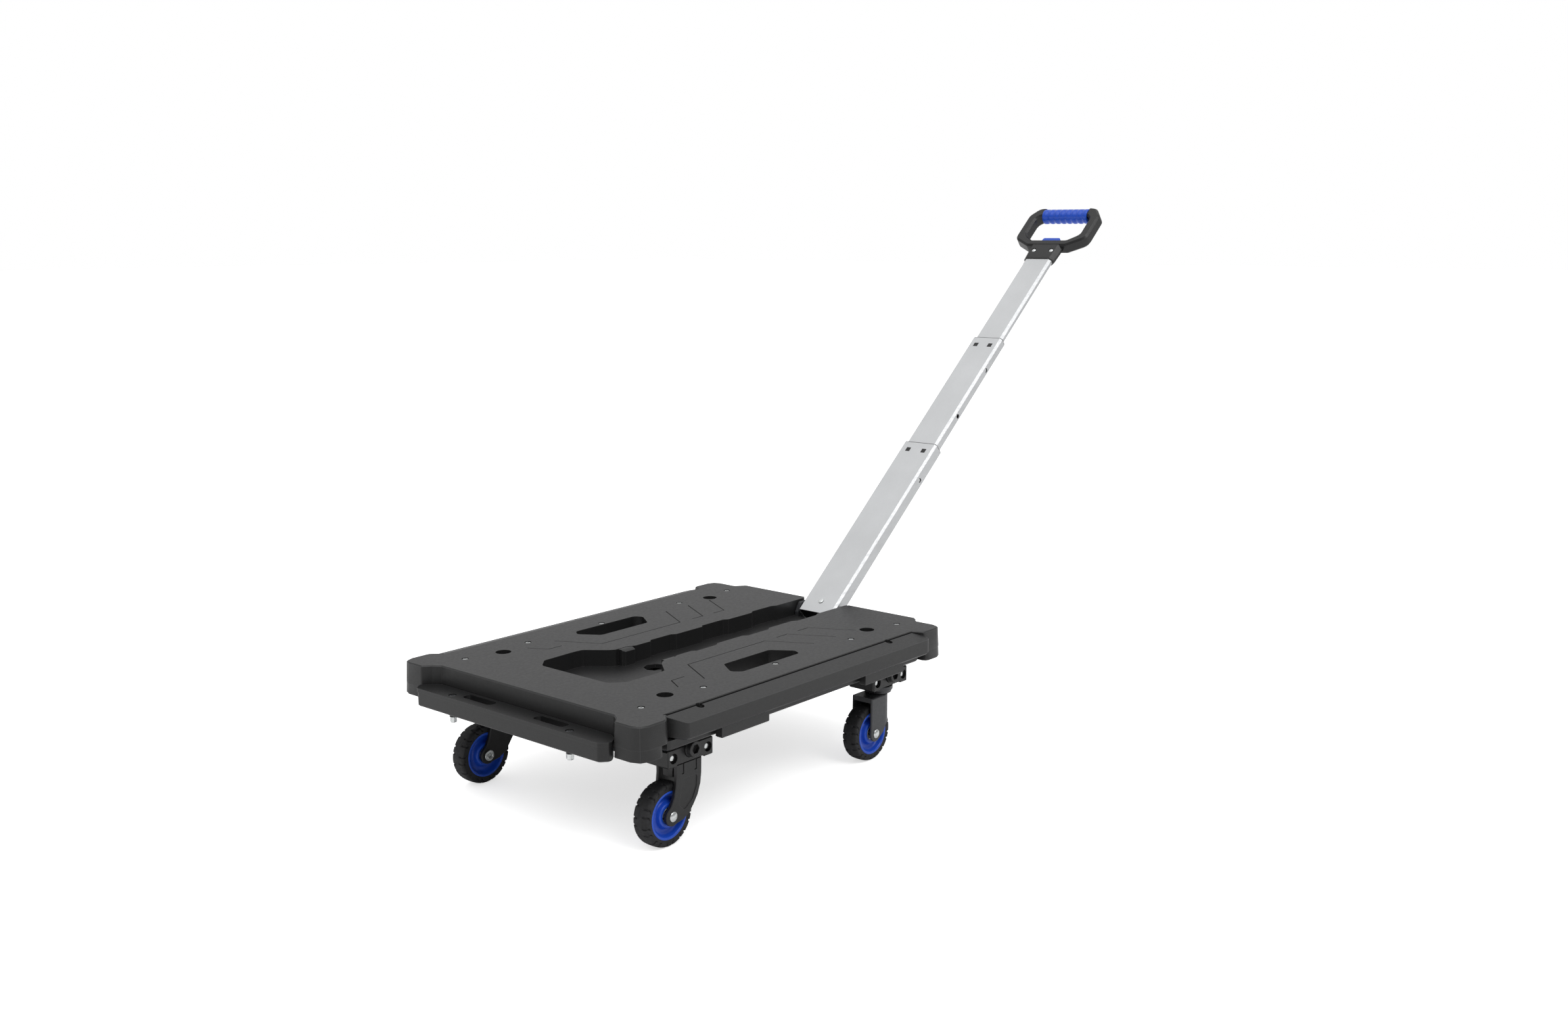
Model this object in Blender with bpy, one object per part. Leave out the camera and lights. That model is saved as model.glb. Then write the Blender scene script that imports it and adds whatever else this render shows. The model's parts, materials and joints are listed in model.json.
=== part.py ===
"""Folding platform cart: a flat deck on four folding casters, with a two-stage telescopic handle."""

import math

import bmesh
import bpy
from mathutils import Matrix, Vector

for stale in list(bpy.data.objects):
    bpy.data.objects.remove(stale, do_unlink=True)

MM = 0.001
GAP = 0.3

# Heights are millimetres below the deck top; the deck top stands this far above the floor.
DECK_HEIGHT = 168.2
LEDGE_TOP = -7.2
LEDGE_ROOT = -1.7
LEDGE_BOTTOM = -27.1
TROUGH_FLOOR = -21.7
SKIN = 3.5
PAD_BOTTOM = -40.2
APRON_BOTTOM = -40.9
BASE_TOP = LEDGE_BOTTOM - GAP
BASE_BOTTOM = -38.8
FRONT_LEDGE_TOP = -22.6
FRONT_BELLY = -45.0
MOUNT_BOTTOM = -49.6

DECK_FRONT = -280.6
DECK_REAR = 285.2
DECK_HALF = 193.8
LEDGE_HALF = 220.1
SCREW_ROWS = (-241.6, -140.3, -10.9, 140.7, 241.6)
SCREW_Y = 155.0
BIG_HOLE = (191.3, 142.6, 10.1)

CASTER_X = 191.3
CASTER_Y = 161.9
TRAIL = 26.0
WHEEL_RADIUS = 38.0
WHEEL_Z = WHEEL_RADIUS - DECK_HEIGHT
BLOCK_HALF = 37.6
BLOCK_OUTER = 182.9
FOLD_Y = 145.7
FOLD_Z = -63.6
BUTTON_Z = -54.3

HANDLE_LEAN = math.radians(40.21)
HANDLE_FOOT = (256.1, -10.7)
PIVOT_S = 12.66
PIVOT_N = -10.7
TUBE_N = -11.0
STAGE_1 = 334.3
STAGE_2 = 570.1
SOCKET = 762.6
MID_BOTTOM = 278.0
INNER_BOTTOM = 514.2
INNER_TOP = 792.0

cart = bpy.data.collections.new("folding_platform_cart")
bpy.context.scene.collection.children.link(cart)
cutters = bpy.data.collections.new("cutters")
cutters.hide_render = True
bpy.context.scene.collection.children.link(cutters)
centre = bpy.data.objects.new("cart_centre", None)
bpy.context.scene.collection.objects.link(centre)


def finish(name, colour, metallic=0.0, roughness=0.5):
    material = bpy.data.materials.new(name)
    material.use_nodes = True
    shader = material.node_tree.nodes["Principled BSDF"]
    shader.inputs["Base Color"].default_value = (*colour, 1.0)
    shader.inputs["Metallic"].default_value = metallic
    shader.inputs["Roughness"].default_value = roughness
    return material


PLASTIC = ((0.045, 0.047, 0.052), 0.0, 0.5)
BLACK = ((0.015, 0.015, 0.017), 0.0, 0.5)
BLUE = ((0.02, 0.07, 0.55), 0.0, 0.35)
STEEL = ((0.62, 0.62, 0.63), 1.0, 0.3)
COATED = ((0.02, 0.02, 0.022), 0.3, 0.4)
TUBE = ((0.72, 0.73, 0.75), 0.9, 0.35)
RUBBER = ((0.02, 0.02, 0.021), 0.0, 0.65)


def body(name, mesh_builder, look=None, smooth=False, frame=None):
    """One object from a bmesh. Without a look it is a helper for a Boolean."""
    if frame is not None:
        bmesh.ops.transform(mesh_builder, matrix=frame, verts=mesh_builder.verts)
    bmesh.ops.scale(mesh_builder, vec=(MM, MM, MM), verts=mesh_builder.verts)
    bmesh.ops.translate(mesh_builder, vec=(0, 0, DECK_HEIGHT * MM), verts=mesh_builder.verts)
    bmesh.ops.recalc_face_normals(mesh_builder, faces=mesh_builder.faces)
    mesh = bpy.data.meshes.new(name)
    mesh_builder.to_mesh(mesh)
    mesh_builder.free()
    made = bpy.data.objects.new(name, mesh)
    made.parent = centre
    if look is None:
        cutters.objects.link(made)
        made.hide_render = True
        made.display_type = "WIRE"
    else:
        cart.objects.link(made)
        mesh.materials.append(finish(name, *look))
    if smooth:
        for face in mesh.polygons:
            face.use_smooth = True
    return made


def boolean(target, tools, operation):
    for tool in tools:
        modifier = target.modifiers.new(f"{operation.lower()} {tool.name}", "BOOLEAN")
        modifier.operation = operation
        modifier.solver = "EXACT"
        modifier.object = tool


def offset(outline, distance):
    """The outline moved inwards by the distance, with mitred corners. It runs anticlockwise."""
    moved = []
    count = len(outline)
    for i in range(count):
        before = Vector(outline[i - 1])
        here = Vector(outline[i])
        after = Vector(outline[(i + 1) % count])
        along = (here - before).normalized()
        ahead = (after - here).normalized()
        left = Vector((-along.y, along.x))
        right = Vector((-ahead.y, ahead.x))
        mean = left + right
        mean /= max(mean.length_squared / 2, 0.2)
        moved.append(tuple(here + mean * distance))
    return moved


def rounded(corners, radius, steps=2):
    """The polygon with each corner turned into an arc. A corner may carry its own radius."""
    result = []
    count = len(corners)
    for i in range(count):
        here = Vector(corners[i][:2])
        size = corners[i][2] if len(corners[i]) > 2 else radius
        before = Vector(corners[i - 1][:2]) - here
        after = Vector(corners[(i + 1) % count][:2]) - here
        angle = before.angle(after)
        reach = size / math.tan(angle / 2)
        reach = min(reach, 0.48 * before.length, 0.48 * after.length)
        if size < 0.01 or angle > math.radians(176):
            result.append(tuple(here))
            continue
        size = reach * math.tan(angle / 2)
        middle = here + (before.normalized() + after.normalized()).normalized() * (
            size / math.sin(angle / 2)
        )
        start = here + before.normalized() * reach - middle
        turn = start.angle_signed(here + after.normalized() * reach - middle)
        for k in range(steps + 1):
            part = -turn * k / steps
            result.append(
                (
                    middle.x + start.x * math.cos(part) - start.y * math.sin(part),
                    middle.y + start.x * math.sin(part) + start.y * math.cos(part),
                )
            )
    return result


def anticlockwise(outline):
    area = 0.0
    for i in range(len(outline)):
        x0, y0 = outline[i - 1]
        x1, y1 = outline[i]
        area += x0 * y1 - x1 * y0
    return list(outline) if area > 0 else list(reversed(outline))


PLACE = {
    "Z": lambda u, v, w: (u, v, w),
    "Y": lambda u, v, w: (u, w, v),
    "X": lambda u, v, w: (w, u, v),
}


def slab(outline, low, high, axis="Z", low_edge=0.0, high_edge=0.0, draft=0.0):
    """A plate between two levels of an axis, with chamfered rims. Draft widens its low end."""
    outline = anticlockwise(outline)
    rings = []
    if low_edge:
        rings.append((offset(outline, low_edge - draft), low))
    rings.append((offset(outline, -draft) if draft else outline, low + low_edge))
    rings.append((outline, high - high_edge))
    if high_edge:
        rings.append((offset(outline, high_edge), high))
    return loft(rings, axis)


def loft(rings, axis="Z"):
    """Outlines with the same number of corners, each at its level of an axis, joined into a solid."""
    made = bmesh.new()
    loops = []
    for ring, level in rings:
        loops.append([made.verts.new(PLACE[axis](u, v, level)) for u, v in ring])
    for lower, upper in zip(loops, loops[1:]):
        for i in range(len(lower)):
            made.faces.new((lower[i - 1], lower[i], upper[i], upper[i - 1]))
    made.faces.new(loops[0])
    made.faces.new(loops[-1])
    return made


def lathe(profile, axis="Z", centre_at=(0, 0, 0), steps=32, closed=False):
    """A profile of (radius, height) turned round an axis. A closed profile makes a ring."""
    made = bmesh.new()
    loops = []
    for radius, height in profile:
        if radius < 1e-6:
            u, v, w = PLACE[axis](0, 0, height)
            loops.append([made.verts.new((u + centre_at[0], v + centre_at[1], w + centre_at[2]))])
            continue
        loop = []
        for k in range(steps):
            turn = 2 * math.pi * k / steps
            u, v, w = PLACE[axis](radius * math.cos(turn), radius * math.sin(turn), height)
            loop.append(made.verts.new((u + centre_at[0], v + centre_at[1], w + centre_at[2])))
        loops.append(loop)
    pairs = list(zip(loops, loops[1:]))
    if closed:
        pairs.append((loops[-1], loops[0]))
    for lower, upper in pairs:
        for k in range(steps):
            a = lower[k % len(lower)]
            b = lower[(k + 1) % len(lower)]
            c = upper[(k + 1) % len(upper)]
            d = upper[k % len(upper)]
            corners = [a, b, c, d]
            if a is b:
                corners = [a, c, d]
            elif c is d:
                corners = [a, b, c]
            made.faces.new(corners)
    if not closed:
        for loop in (loops[0], loops[-1]):
            if len(loop) > 1:
                made.faces.new(loop)
    return made


def rod(radius, low, high, axis="Z", at=(0, 0, 0), steps=24, edge=0.0):
    profile = [(radius, low), (radius, high)]
    if edge:
        profile = [(radius - edge, low), (radius, low + edge)]
        profile += [(radius, high - edge), (radius - edge, high)]
    return lathe(profile, axis, at, steps)


def box(x0, x1, y0, y1, z0, z1):
    return slab([(x0, y0), (x1, y0), (x1, y1), (x0, y1)], z0, z1)


def merge(*pieces):
    """Several separate closed shells in one bmesh."""
    whole = bmesh.new()
    for piece in pieces:
        spare = bpy.data.meshes.new("spare")
        piece.to_mesh(spare)
        piece.free()
        whole.from_mesh(spare)
        bpy.data.meshes.remove(spare)
    return whole


def both_sides(half):
    """A closed outline from its half at +Y, listed from the front to the rear."""
    return list(half) + [(x, -y, *rest) for x, y, *rest in reversed(half)]


def plan(corners, side, radius=2.0, steps=2):
    return rounded([(x, side * y, *rest) for x, y, *rest in corners], radius, steps)


def groove(points, width=1.9, depth=2.0, lift=0.5):
    """A V-shaped strip along a line on the deck top."""
    made = bmesh.new()
    sections = []
    half = width / 2 * (depth + lift) / depth
    for i, point in enumerate(points):
        here = Vector(point)
        before = (here - Vector(points[i - 1])).normalized() if i else None
        ahead = (Vector(points[i + 1]) - here).normalized() if i + 1 < len(points) else None
        heading = ((before or ahead) + (ahead or before)).normalized()
        across = Vector((-heading.y, heading.x))
        spread = half / max(across.dot(Vector((-(before or ahead).y, (before or ahead).x))), 0.3)
        sections.append(
            [
                made.verts.new((*(here + across * spread), lift)),
                made.verts.new((*(here - across * spread), lift)),
                made.verts.new((*here, -depth)),
            ]
        )
    for a, b in zip(sections, sections[1:]):
        for k in range(3):
            made.faces.new((a[k - 1], a[k], b[k], b[k - 1]))
    made.faces.new(sections[0])
    made.faces.new(sections[-1])
    return made


# The top moulding.
top_half = [
    (DECK_FRONT, 151.9, 3),
    (-287.0, 162.0, 4),
    (-297.0, 170.0, 3),
    (-297.0, 208.9, 14),
    (-256.0, 208.9, 10),
    (-241.5, DECK_HALF, 12),
    (221.7, DECK_HALF, 3),
    (229.4, 208.7, 5),
    (271.3, 208.7, 14),
    (271.3, 166.0, 4),
    (DECK_REAR, 155.0, 5),
]
deck_top = body(
    "deck_top",
    slab(rounded(both_sides(top_half), 3), LEDGE_BOTTOM, 0, high_edge=1.5, draft=1.2),
    PLASTIC,
)
front_pad = [(-297.0, 170.0), (-297.0, 208.9, 14), (-262.0, 208.9, 6), (-262.0, 170.0)]
rear_pad = [(234.0, 172.0), (234.0, 208.7, 5), (271.3, 208.7, 14), (271.3, 172.0)]
ledge = [(-246.0, 187.0), (-244.9, 197.0), (-234.0, LEDGE_HALF, 5), (230.0, LEDGE_HALF, 9), (230.0, 187.0)]
apron = [(93.0, 205.4), (93.0, 215.5), (174.4, 215.5), (174.4, 205.4)]
fall = [(195.3, LEDGE_ROOT), (224.0, LEDGE_TOP - 0.9), (224.0, 8.0), (195.3, 8.0)]
apron_front = [(-x, y) for x, y in apron]
added = []
flanges = []
for side in (1, -1):
    added.append(slab(plan(front_pad, side), PAD_BOTTOM, -8.0, draft=1.5))
    added.append(slab(plan(rear_pad, side), PAD_BOTTOM, -8.0, draft=1.5))
    flange = body(f"ledge {side}", slab(plan(ledge, side, 4), LEDGE_BOTTOM + 0.1, LEDGE_ROOT, low_edge=2.0))
    slope = slab([(side * y, z) for y, z in fall], -260.0, 240.0, axis="X")
    boolean(flange, [body(f"ledge slope {side}", slope)], "DIFFERENCE")
    flanges.append(flange)
    added.append(slab(plan(apron, side, 0), APRON_BOTTOM, -20.0, low_edge=1.0))
    added.append(slab(plan(apron_front, side, 0), APRON_BOTTOM, -20.0, low_edge=1.0))
boolean(deck_top, [body(f"deck rim {i}", made) for i, made in enumerate(added)] + flanges, "UNION")
seam = [(-246.5, 193.2), (221.9, 193.2), (230.6, 210.2), (228.4, 211.0), (220.4, 195.3), (-246.5, 195.3)]
seams = merge(*[slab([(x, side * y) for x, y in seam], -4.4, 6) for side in (1, -1)])
boolean(deck_top, [body("ledge seams", seams)], "DIFFERENCE")

pockets = [
    [(-276, 4), (-206, 4), (-206, 188), (-264, 188), (-264, 203.5), (-291, 203.5), (-291, 175), (-276, 158)],
    [(-202, 79), (-86, 79), (-86, 188), (-202, 188)],
    [(-82, 46.5), (58, 46.5), (58, 104.5), (-82, 104.5)],
    [(-82, 152), (58, 152), (58, 188), (-82, 188)],
    [(62, 46.5), (150, 46.5), (150, 188), (62, 188)],
    [(154, 46.5), (281, 46.5), (281, 152), (266.5, 163), (266.5, 203), (238, 203), (238, 188), (154, 188)],
]
hollow = merge(*[slab(plan(p, side, 2, 1), -60, -SKIN) for p in pockets for side in (1, -1)])
boolean(deck_top, [body("deck hollow", hollow)], "DIFFERENCE")


def screw_posts(low, high, radius):
    return [rod(radius, low, high, at=(x, s * SCREW_Y, 0), steps=8) for x in SCREW_ROWS for s in (1, -1)]


hole_x, hole_y, hole_r = BIG_HOLE
cups = [
    rod(hole_r + 3, LEDGE_BOTTOM, -1.5, at=(x, y, 0), steps=12)
    for x in (-hole_x, hole_x)
    for y in (-hole_y, hole_y)
]
boolean(deck_top, [body("deck posts", merge(*screw_posts(LEDGE_BOTTOM, -1.5, 6.0)))], "UNION")
boolean(deck_top, [body("deck cups", merge(*cups))], "UNION")

trough_half = [
    (-201.5, 57.4, 8),
    (-184.5, 72.9, 6),
    (-134.9, 74.4, 8),
    (-120.9, 72.9, 6),
    (-100.8, 48.0, 6),
    (-93.0, 41.9, 3),
    (-72.9, 41.9, 0),
    (-62.0, 36.4, 0),
    (-35.7, 36.4, 0),
    (-31.0, 41.1, 0),
    (6.2, 41.1, 0),
    (12.4, 36.4, 0),
    (62.0, 36.4, 0),
    (66.7, 41.1, 0),
    (108.5, 41.1, 0),
    (114.7, 36.4, 0),
    (162.8, 36.4, 0),
    (169.0, 41.1, 0),
    (209.3, 41.1, 0),
    (217.0, 37.2, 0),
    (279.0, 37.2, 0),
    (289.0, 46.0, 0),
]
trough = slab(rounded(both_sides(trough_half), 2, 2), TROUGH_FLOOR, 5)
boolean(deck_top, [body("trough", trough)], "DIFFERENCE")

# Two clips at the trough's sides hold the neck of the folded handle.
clip = [(-88.0, 34.9), (-84.5, 32.1), (-67.8, 32.1), (-67.8, 43.5), (-88.0, 43.5)]
clips = merge(*[slab(plan(clip, side, 0), TROUGH_FLOOR - 1.5, -0.4) for side in (1, -1)])
boolean(deck_top, [body("clips", clips)], "UNION")
chamfer = [(26.0, -6.0), (31.0, -3.6), (38.0, 0.6), (38.0, 6.0), (26.0, 6.0)]
chamfers = merge(*[slab([(side * y, z) for y, z in chamfer], -92.0, -67.6, axis="X") for side in (1, -1)])
boolean(deck_top, [body("clip chamfers", chamfers)], "DIFFERENCE")
hinge_pocket = body("hinge pocket", box(255.8, 300, -36.4, 36.4, -31.5, 5))
boolean(deck_top, [hinge_pocket], "DIFFERENCE")

slot = [(-72.9, 136.4, 6), (-63.6, 148.0, 6), (43.4, 148.0, 6), (49.6, 136.4, 6), (31.0, 108.5, 6), (-54.3, 108.5, 6)]
hand_slots = body("hand slots", merge(*[slab(plan(slot, side, 6, 2), -60, 5) for side in (1, -1)]))
boolean(deck_top, [hand_slots], "DIFFERENCE")
lines = [
    [(-159.7, 133.3), (-145.7, 108.5), (-124.0, 108.5)],
    [(-114.7, 133.3), (-83.7, 76.0), (60.5, 76.0), (91.5, 133.3)],
    [(83.7, 76.0), (105.4, 76.0), (136.4, 133.3)],
    [(127.1, 76.0), (148.8, 76.0), (179.8, 133.3)],
]
cuts = [groove([(x, s * y) for x, y in line]) for line in lines for s in (1, -1)]
boolean(deck_top, [body("deck grooves", merge(*cuts))], "DIFFERENCE")
bores = [rod(hole_r, -20.0, 5, at=(x, y, 0), steps=16) for x in (-hole_x, hole_x) for y in (-hole_y, hole_y)]
bores += [rod(2.4, -60, -2, at=(x, s * SCREW_Y, 0), steps=8) for x in SCREW_ROWS for s in (1, -1)]
boolean(deck_top, [body("deck bores", merge(*bores))], "DIFFERENCE")
seats = [rod(4.6, -3.0, 5, at=(x, s * SCREW_Y, 0), steps=12) for x in SCREW_ROWS for s in (1, -1)]
seats += [rod(5.2, -15.0, 5, at=(x, s * 197.0, 0), steps=12) for x in (-190.6, 166.4) for s in (1, -1)]
seats.append(rod(15.5, -60, 5, at=(-64.0, 0, 0), steps=8))
boolean(deck_top, [body("screw seats", merge(*seats))], "DIFFERENCE")

# The base moulding: a tray under the top, the front ledge and the four caster mounts.
base_half = [
    (-290.0, 157.0, 3),
    (-284.0, 163.5, 3),
    (-252.0, 163.5, 3),
    (-252.0, 205.0, 6),
    (225.0, 205.0, 6),
    (225.0, 163.5, 3),
    (268.0, 163.5, 4),
    (282.5, 151.0, 4),
]
deck_base = body(
    "deck_base",
    slab(rounded(both_sides(base_half), 3), BASE_BOTTOM, BASE_TOP, low_edge=2.0),
    BLACK,
)
front_half = [(-282.4, 150.8, 0), (-289.0, 160.6, 1), (-298.0, 167.4, 1), (-303.5, 167.4, 3), (-312.3, 159.7, 4)]
front_ledge = [(x, y, *rest) for x, y, *rest in both_sides(front_half)]
nose = slab(rounded(front_ledge, 1, 2), -27.3, FRONT_LEDGE_TOP)
belly_half = [(-284.0, 152.0, 1), (-289.5, 160.0, 2), (-298.0, 166.9, 2), (-303.0, 166.9, 4), (-311.9, 159.5, 6)]
belly = slab(rounded(both_sides(belly_half), 1, 2), FRONT_BELLY, -27.0, low_edge=1.4)
boolean(deck_base, [body("front nose", nose), body("front belly", belly)], "UNION")

trays = [
    [(-272, 4), (-206, 4), (-206, 159), (-272, 159)],
    [(-202, 4), (-86, 4), (-86, 200), (-202, 200)],
    [(-82, 4), (58, 4), (58, 104.5), (-82, 104.5)],
    [(-82, 152), (58, 152), (58, 200), (-82, 200)],
    [(62, 4), (150, 4), (150, 200), (62, 200)],
    [(154, 40.5), (264, 40.5), (264, 158.5), (154, 158.5)],
]
tray_cut = merge(*[slab(plan(p, side, 2, 1), BASE_BOTTOM + 3, 0) for p in trays for side in (1, -1)])
boolean(deck_base, [body("tray hollow", tray_cut)], "DIFFERENCE")
boolean(deck_base, [body("base posts", merge(*screw_posts(BASE_BOTTOM + 1, BASE_TOP, 6.0)))], "UNION")

mounts = []
lugs = []
for x in (-CASTER_X, CASTER_X):
    for s in (1, -1):
        outer = [(x - BLOCK_HALF, s * 141.2), (x + BLOCK_HALF, s * 141.2)]
        outer += [(x + BLOCK_HALF, s * BLOCK_OUTER), (x - BLOCK_HALF, s * BLOCK_OUTER)]
        mounts.append(slab(rounded(outer, 5, 2), MOUNT_BOTTOM + 0.15, BASE_BOTTOM + 1.5, low_edge=0.8))
        rounding = [(FOLD_Y - 5.0, -44.0), (FOLD_Y + 5.0, -44.0)]
        for k in range(7):
            turn = -math.pi * k / 6
            rounding.append((FOLD_Y + 5.0 * math.cos(turn), FOLD_Z + 5.0 * math.sin(turn)))
        lug = [(s * y, z) for y, z in rounding]
        lugs.append(slab(lug, x - 13.7, x + 13.7, axis="X"))
boolean(deck_base, [body("caster mounts", merge(*mounts))], "UNION")

reliefs = []
for x in (-CASTER_X, CASTER_X):
    for s in (1, -1):
        y0, y1 = sorted((s * 150.0, s * (BLOCK_OUTER + 5)))
        reliefs.append(box(x - 18, x + 18, y0, y1, -60, -46.5))
boolean(deck_base, [body("mount steps", merge(*reliefs))], "DIFFERENCE")
arches = []
for x in (-CASTER_X, CASTER_X):
    for s in (1, -1):
        y0, y1 = sorted((s * (BLOCK_OUTER - 11.5), s * (BLOCK_OUTER + 5)))
        arches.append(rod(11.6, y0, y1, axis="Y", at=(x, 0, BUTTON_Z), steps=20))
boolean(deck_base, [body("mount arches", merge(*arches))], "DIFFERENCE")
boolean(deck_base, [body("fold lugs", merge(*lugs))], "UNION")

base_bores = [rod(2.4, -36.5, 5, at=(x, s * SCREW_Y, 0), steps=8) for x in SCREW_ROWS for s in (1, -1)]
for x in (-CASTER_X, CASTER_X):
    for s in (1, -1):
        base_bores.append(rod(2.9, x - 50, x + 50, axis="X", at=(0, s * FOLD_Y, FOLD_Z), steps=12))
for s in (1, -1):
    stepped = [(0, -60), (3.3, -60), (3.3, -26.2), (5.2, -26.2), (5.2, 0), (0, 0)]
    base_bores.append(lathe(stepped, "Z", (-302.3, s * 103.4, 0), 12))
boolean(deck_base, [body("base bores", merge(*base_bores))], "DIFFERENCE")
front_slots = [(-300.7, 37.2), (-300.7, 89.1), (-287.1, 89.1), (-287.1, 37.2)]
slots = merge(*[slab(plan(front_slots, side, 5, 2), -60, 0) for side in (1, -1)])
boolean(deck_base, [body("front slots", slots), hand_slots, hinge_pocket], "DIFFERENCE")

# Fasteners of the deck.
number = 0
for x in SCREW_ROWS:
    for s in (1, -1):
        number += 1
        profile = [(0, -34.0), (2.1, -31.0), (2.1, -2.7), (4.2, -2.7), (4.2, -1.2), (3.2, -0.5), (0, -0.2)]
        body(f"deck_screw_{number:02d}", lathe(profile, "Z", (x, s * SCREW_Y, 0), 10), STEEL, True)
for label, s in (("left", 1), ("right", -1)):
    profile = [(0, -56.6), (3.0, -56.6), (4.1, -55.2), (4.1, -49.2), (4.6, -49.2), (4.6, -45.3), (2.9, -45.3)]
    profile += [(2.9, -25.9), (4.8, -25.9), (4.8, -23.6), (3.4, -22.9), (0, -22.9)]
    body(f"ledge_bolt_{label}", lathe(profile, "Z", (-302.3, s * 103.4, 0), 12), STEEL, True)

# The handle is modelled along its own axes: s up the tube, y across, n out of its broad front face.
foot_x, foot_z = HANDLE_FOOT
LEAN = Matrix.Translation((foot_x, 0, foot_z)) @ Matrix.Rotation(-HANDLE_LEAN, 4, "Y")
pivot = LEAN @ Vector((PIVOT_S, 0, PIVOT_N))


def section(wide, deep, chamfer, n_mid=TUBE_N):
    """A chamfered rectangle across the handle, as (y, n) corners."""
    y, n = wide / 2, deep / 2
    corners = [(y - chamfer, n), (y, n - chamfer), (y, chamfer - n), (y - chamfer, -n)]
    corners += [(chamfer - y, -n), (-y, chamfer - n), (-y, n - chamfer), (chamfer - y, n)]
    return [(a, b + n_mid) for a, b in corners]


def ringed(*steps):
    """A closed loop of sections, as (corners, level), joined in turn into a sleeve that is open inside."""
    made = bmesh.new()
    rings = [[made.verts.new((level, y, n)) for y, n in corners] for corners, level in steps]
    for i in range(len(rings)):
        lower, upper = rings[i - 1], rings[i]
        for k in range(len(lower)):
            made.faces.new((lower[k - 1], lower[k], upper[k], upper[k - 1]))
    return made


def tube(outer, inner, low, high):
    return ringed((outer, low), (outer, high), (inner, high), (inner, low))


def bar(corners, low, high):
    return slab(corners, low, high, axis="X")


OUTER_OUT = section(60.0, 22.0, 3.1)
OUTER_IN = section(57.6, 19.6, 2.2)
MID_OUT = section(54.8, 17.4, 3.4)
MID_IN = section(52.4, 15.0, 2.6)
INNER_OUT = section(49.6, 12.8, 3.7)
INNER_IN = section(47.2, 10.4, 2.9)

outer_tube = body("outer_tube", tube(OUTER_OUT, OUTER_IN, 0, STAGE_1), TUBE, frame=LEAN)
windows = []
for s in (1, -1):
    windows.append(slab([(315.7, s * 10.2), (323.5, s * 10.2), (323.5, s * 17.9), (315.7, s * 17.9)], -4, 4))
windows.append(rod(3.6, -40, 40, axis="Y", at=(PIVOT_S, 0, PIVOT_N), steps=20))
windows.append(rod(2.9, -40, 5, at=(20.2, 0, 0), steps=16))
windows.append(rod(3.6, -34, -20, axis="Y", at=(270.3, 0, TUBE_N), steps=16))
boolean(outer_tube, [body("outer tube holes", merge(*windows), frame=LEAN)], "DIFFERENCE")

mid_tube = body("mid_tube", tube(MID_OUT, MID_IN, MID_BOTTOM, STAGE_2), TUBE, frame=LEAN)
windows = []
for s in (1, -1):
    windows.append(slab([(550.2, s * 9.0), (558.0, s * 9.0), (558.0, s * 16.9), (550.2, s * 16.9)], -8, 0))
windows.append(rod(3.6, -32, -18, axis="Y", at=(405.0, 0, TUBE_N), steps=16))
windows.append(rod(3.6, -32, -18, axis="Y", at=(506.5, 0, TUBE_N), steps=16))
boolean(mid_tube, [body("mid tube holes", merge(*windows), frame=LEAN)], "DIFFERENCE")
inner_tube = body("inner_tube", tube(INNER_OUT, INNER_IN, INNER_BOTTOM, INNER_TOP), TUBE, frame=LEAN)

# Bushes: a sleeve inside the end of the larger tube, a thin collar on its end, and two lugs in its windows.
def bush(name, sleeve, passage, collar, low, end, lugs):
    rings = [(sleeve, low), (sleeve, end + GAP), (collar, end + GAP), (collar, end + 1.4)]
    rings += [(passage, end + 1.4), (passage, low)]
    made = body(name, ringed(*rings), BLACK, frame=LEAN)
    boolean(made, [body(f"{name} lugs", merge(*lugs), frame=LEAN)], "UNION")
    return made


def pair_of_lugs(s0, s1, y0, y1, n0, n1):
    return [box(s0, s1, *sorted((side * y0, side * y1)), n0, n1) for side in (1, -1)]


outer_bush = bush(
    "outer_bush",
    section(57.0, 19.0, 2.0),
    section(55.4, 18.0, 3.3),
    section(59.4, 21.4, 2.9),
    306.0,
    STAGE_1,
    pair_of_lugs(316.0, 323.2, 10.5, 17.6, -1.75, -0.2),
)
mid_bush = bush(
    "mid_bush",
    section(51.8, 14.4, 2.4),
    section(50.2, 13.4, 3.6),
    section(54.2, 16.8, 3.2),
    542.0,
    STAGE_2,
    pair_of_lugs(550.5, 557.7, 9.3, 16.6, -4.05, -2.5),
)

# Sliding feet with their lock pins, which point to -Y and end just inside the tube wall.
def foot(name, slider, plug, low, pin_s, pin_tip):
    profile = [(slider, low), (slider, low + 15.0), (plug, low + 15.0), (plug, low + 27.0)]
    block = body(name, loft(profile, "X"), BLACK, frame=LEAN)
    bores = [rod(3.1, -40, -5.0, axis="Y", at=(pin_s, 0, TUBE_N), steps=16)]
    bores.append(rod(2.6, pin_s - 3.0, low + 40, axis="X", at=(0, 0, TUBE_N), steps=16))
    boolean(block, [body(f"{name} bores", merge(*bores), frame=LEAN)], "DIFFERENCE")
    pin = rod(2.8, pin_tip, -10.0, axis="Y", at=(pin_s, 0, TUBE_N), steps=16, edge=0.4)
    body(f"{name[:-5]}_lock_pin", pin, STEEL, True, LEAN)


foot("mid_foot", section(57.0, 19.0, 2.0), section(51.8, 14.4, 2.4), 262.7, 270.3, -28.5)
foot("inner_foot", section(51.8, 14.4, 2.4), section(46.6, 9.8, 2.8), 498.9, 506.5, -25.9)

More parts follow.
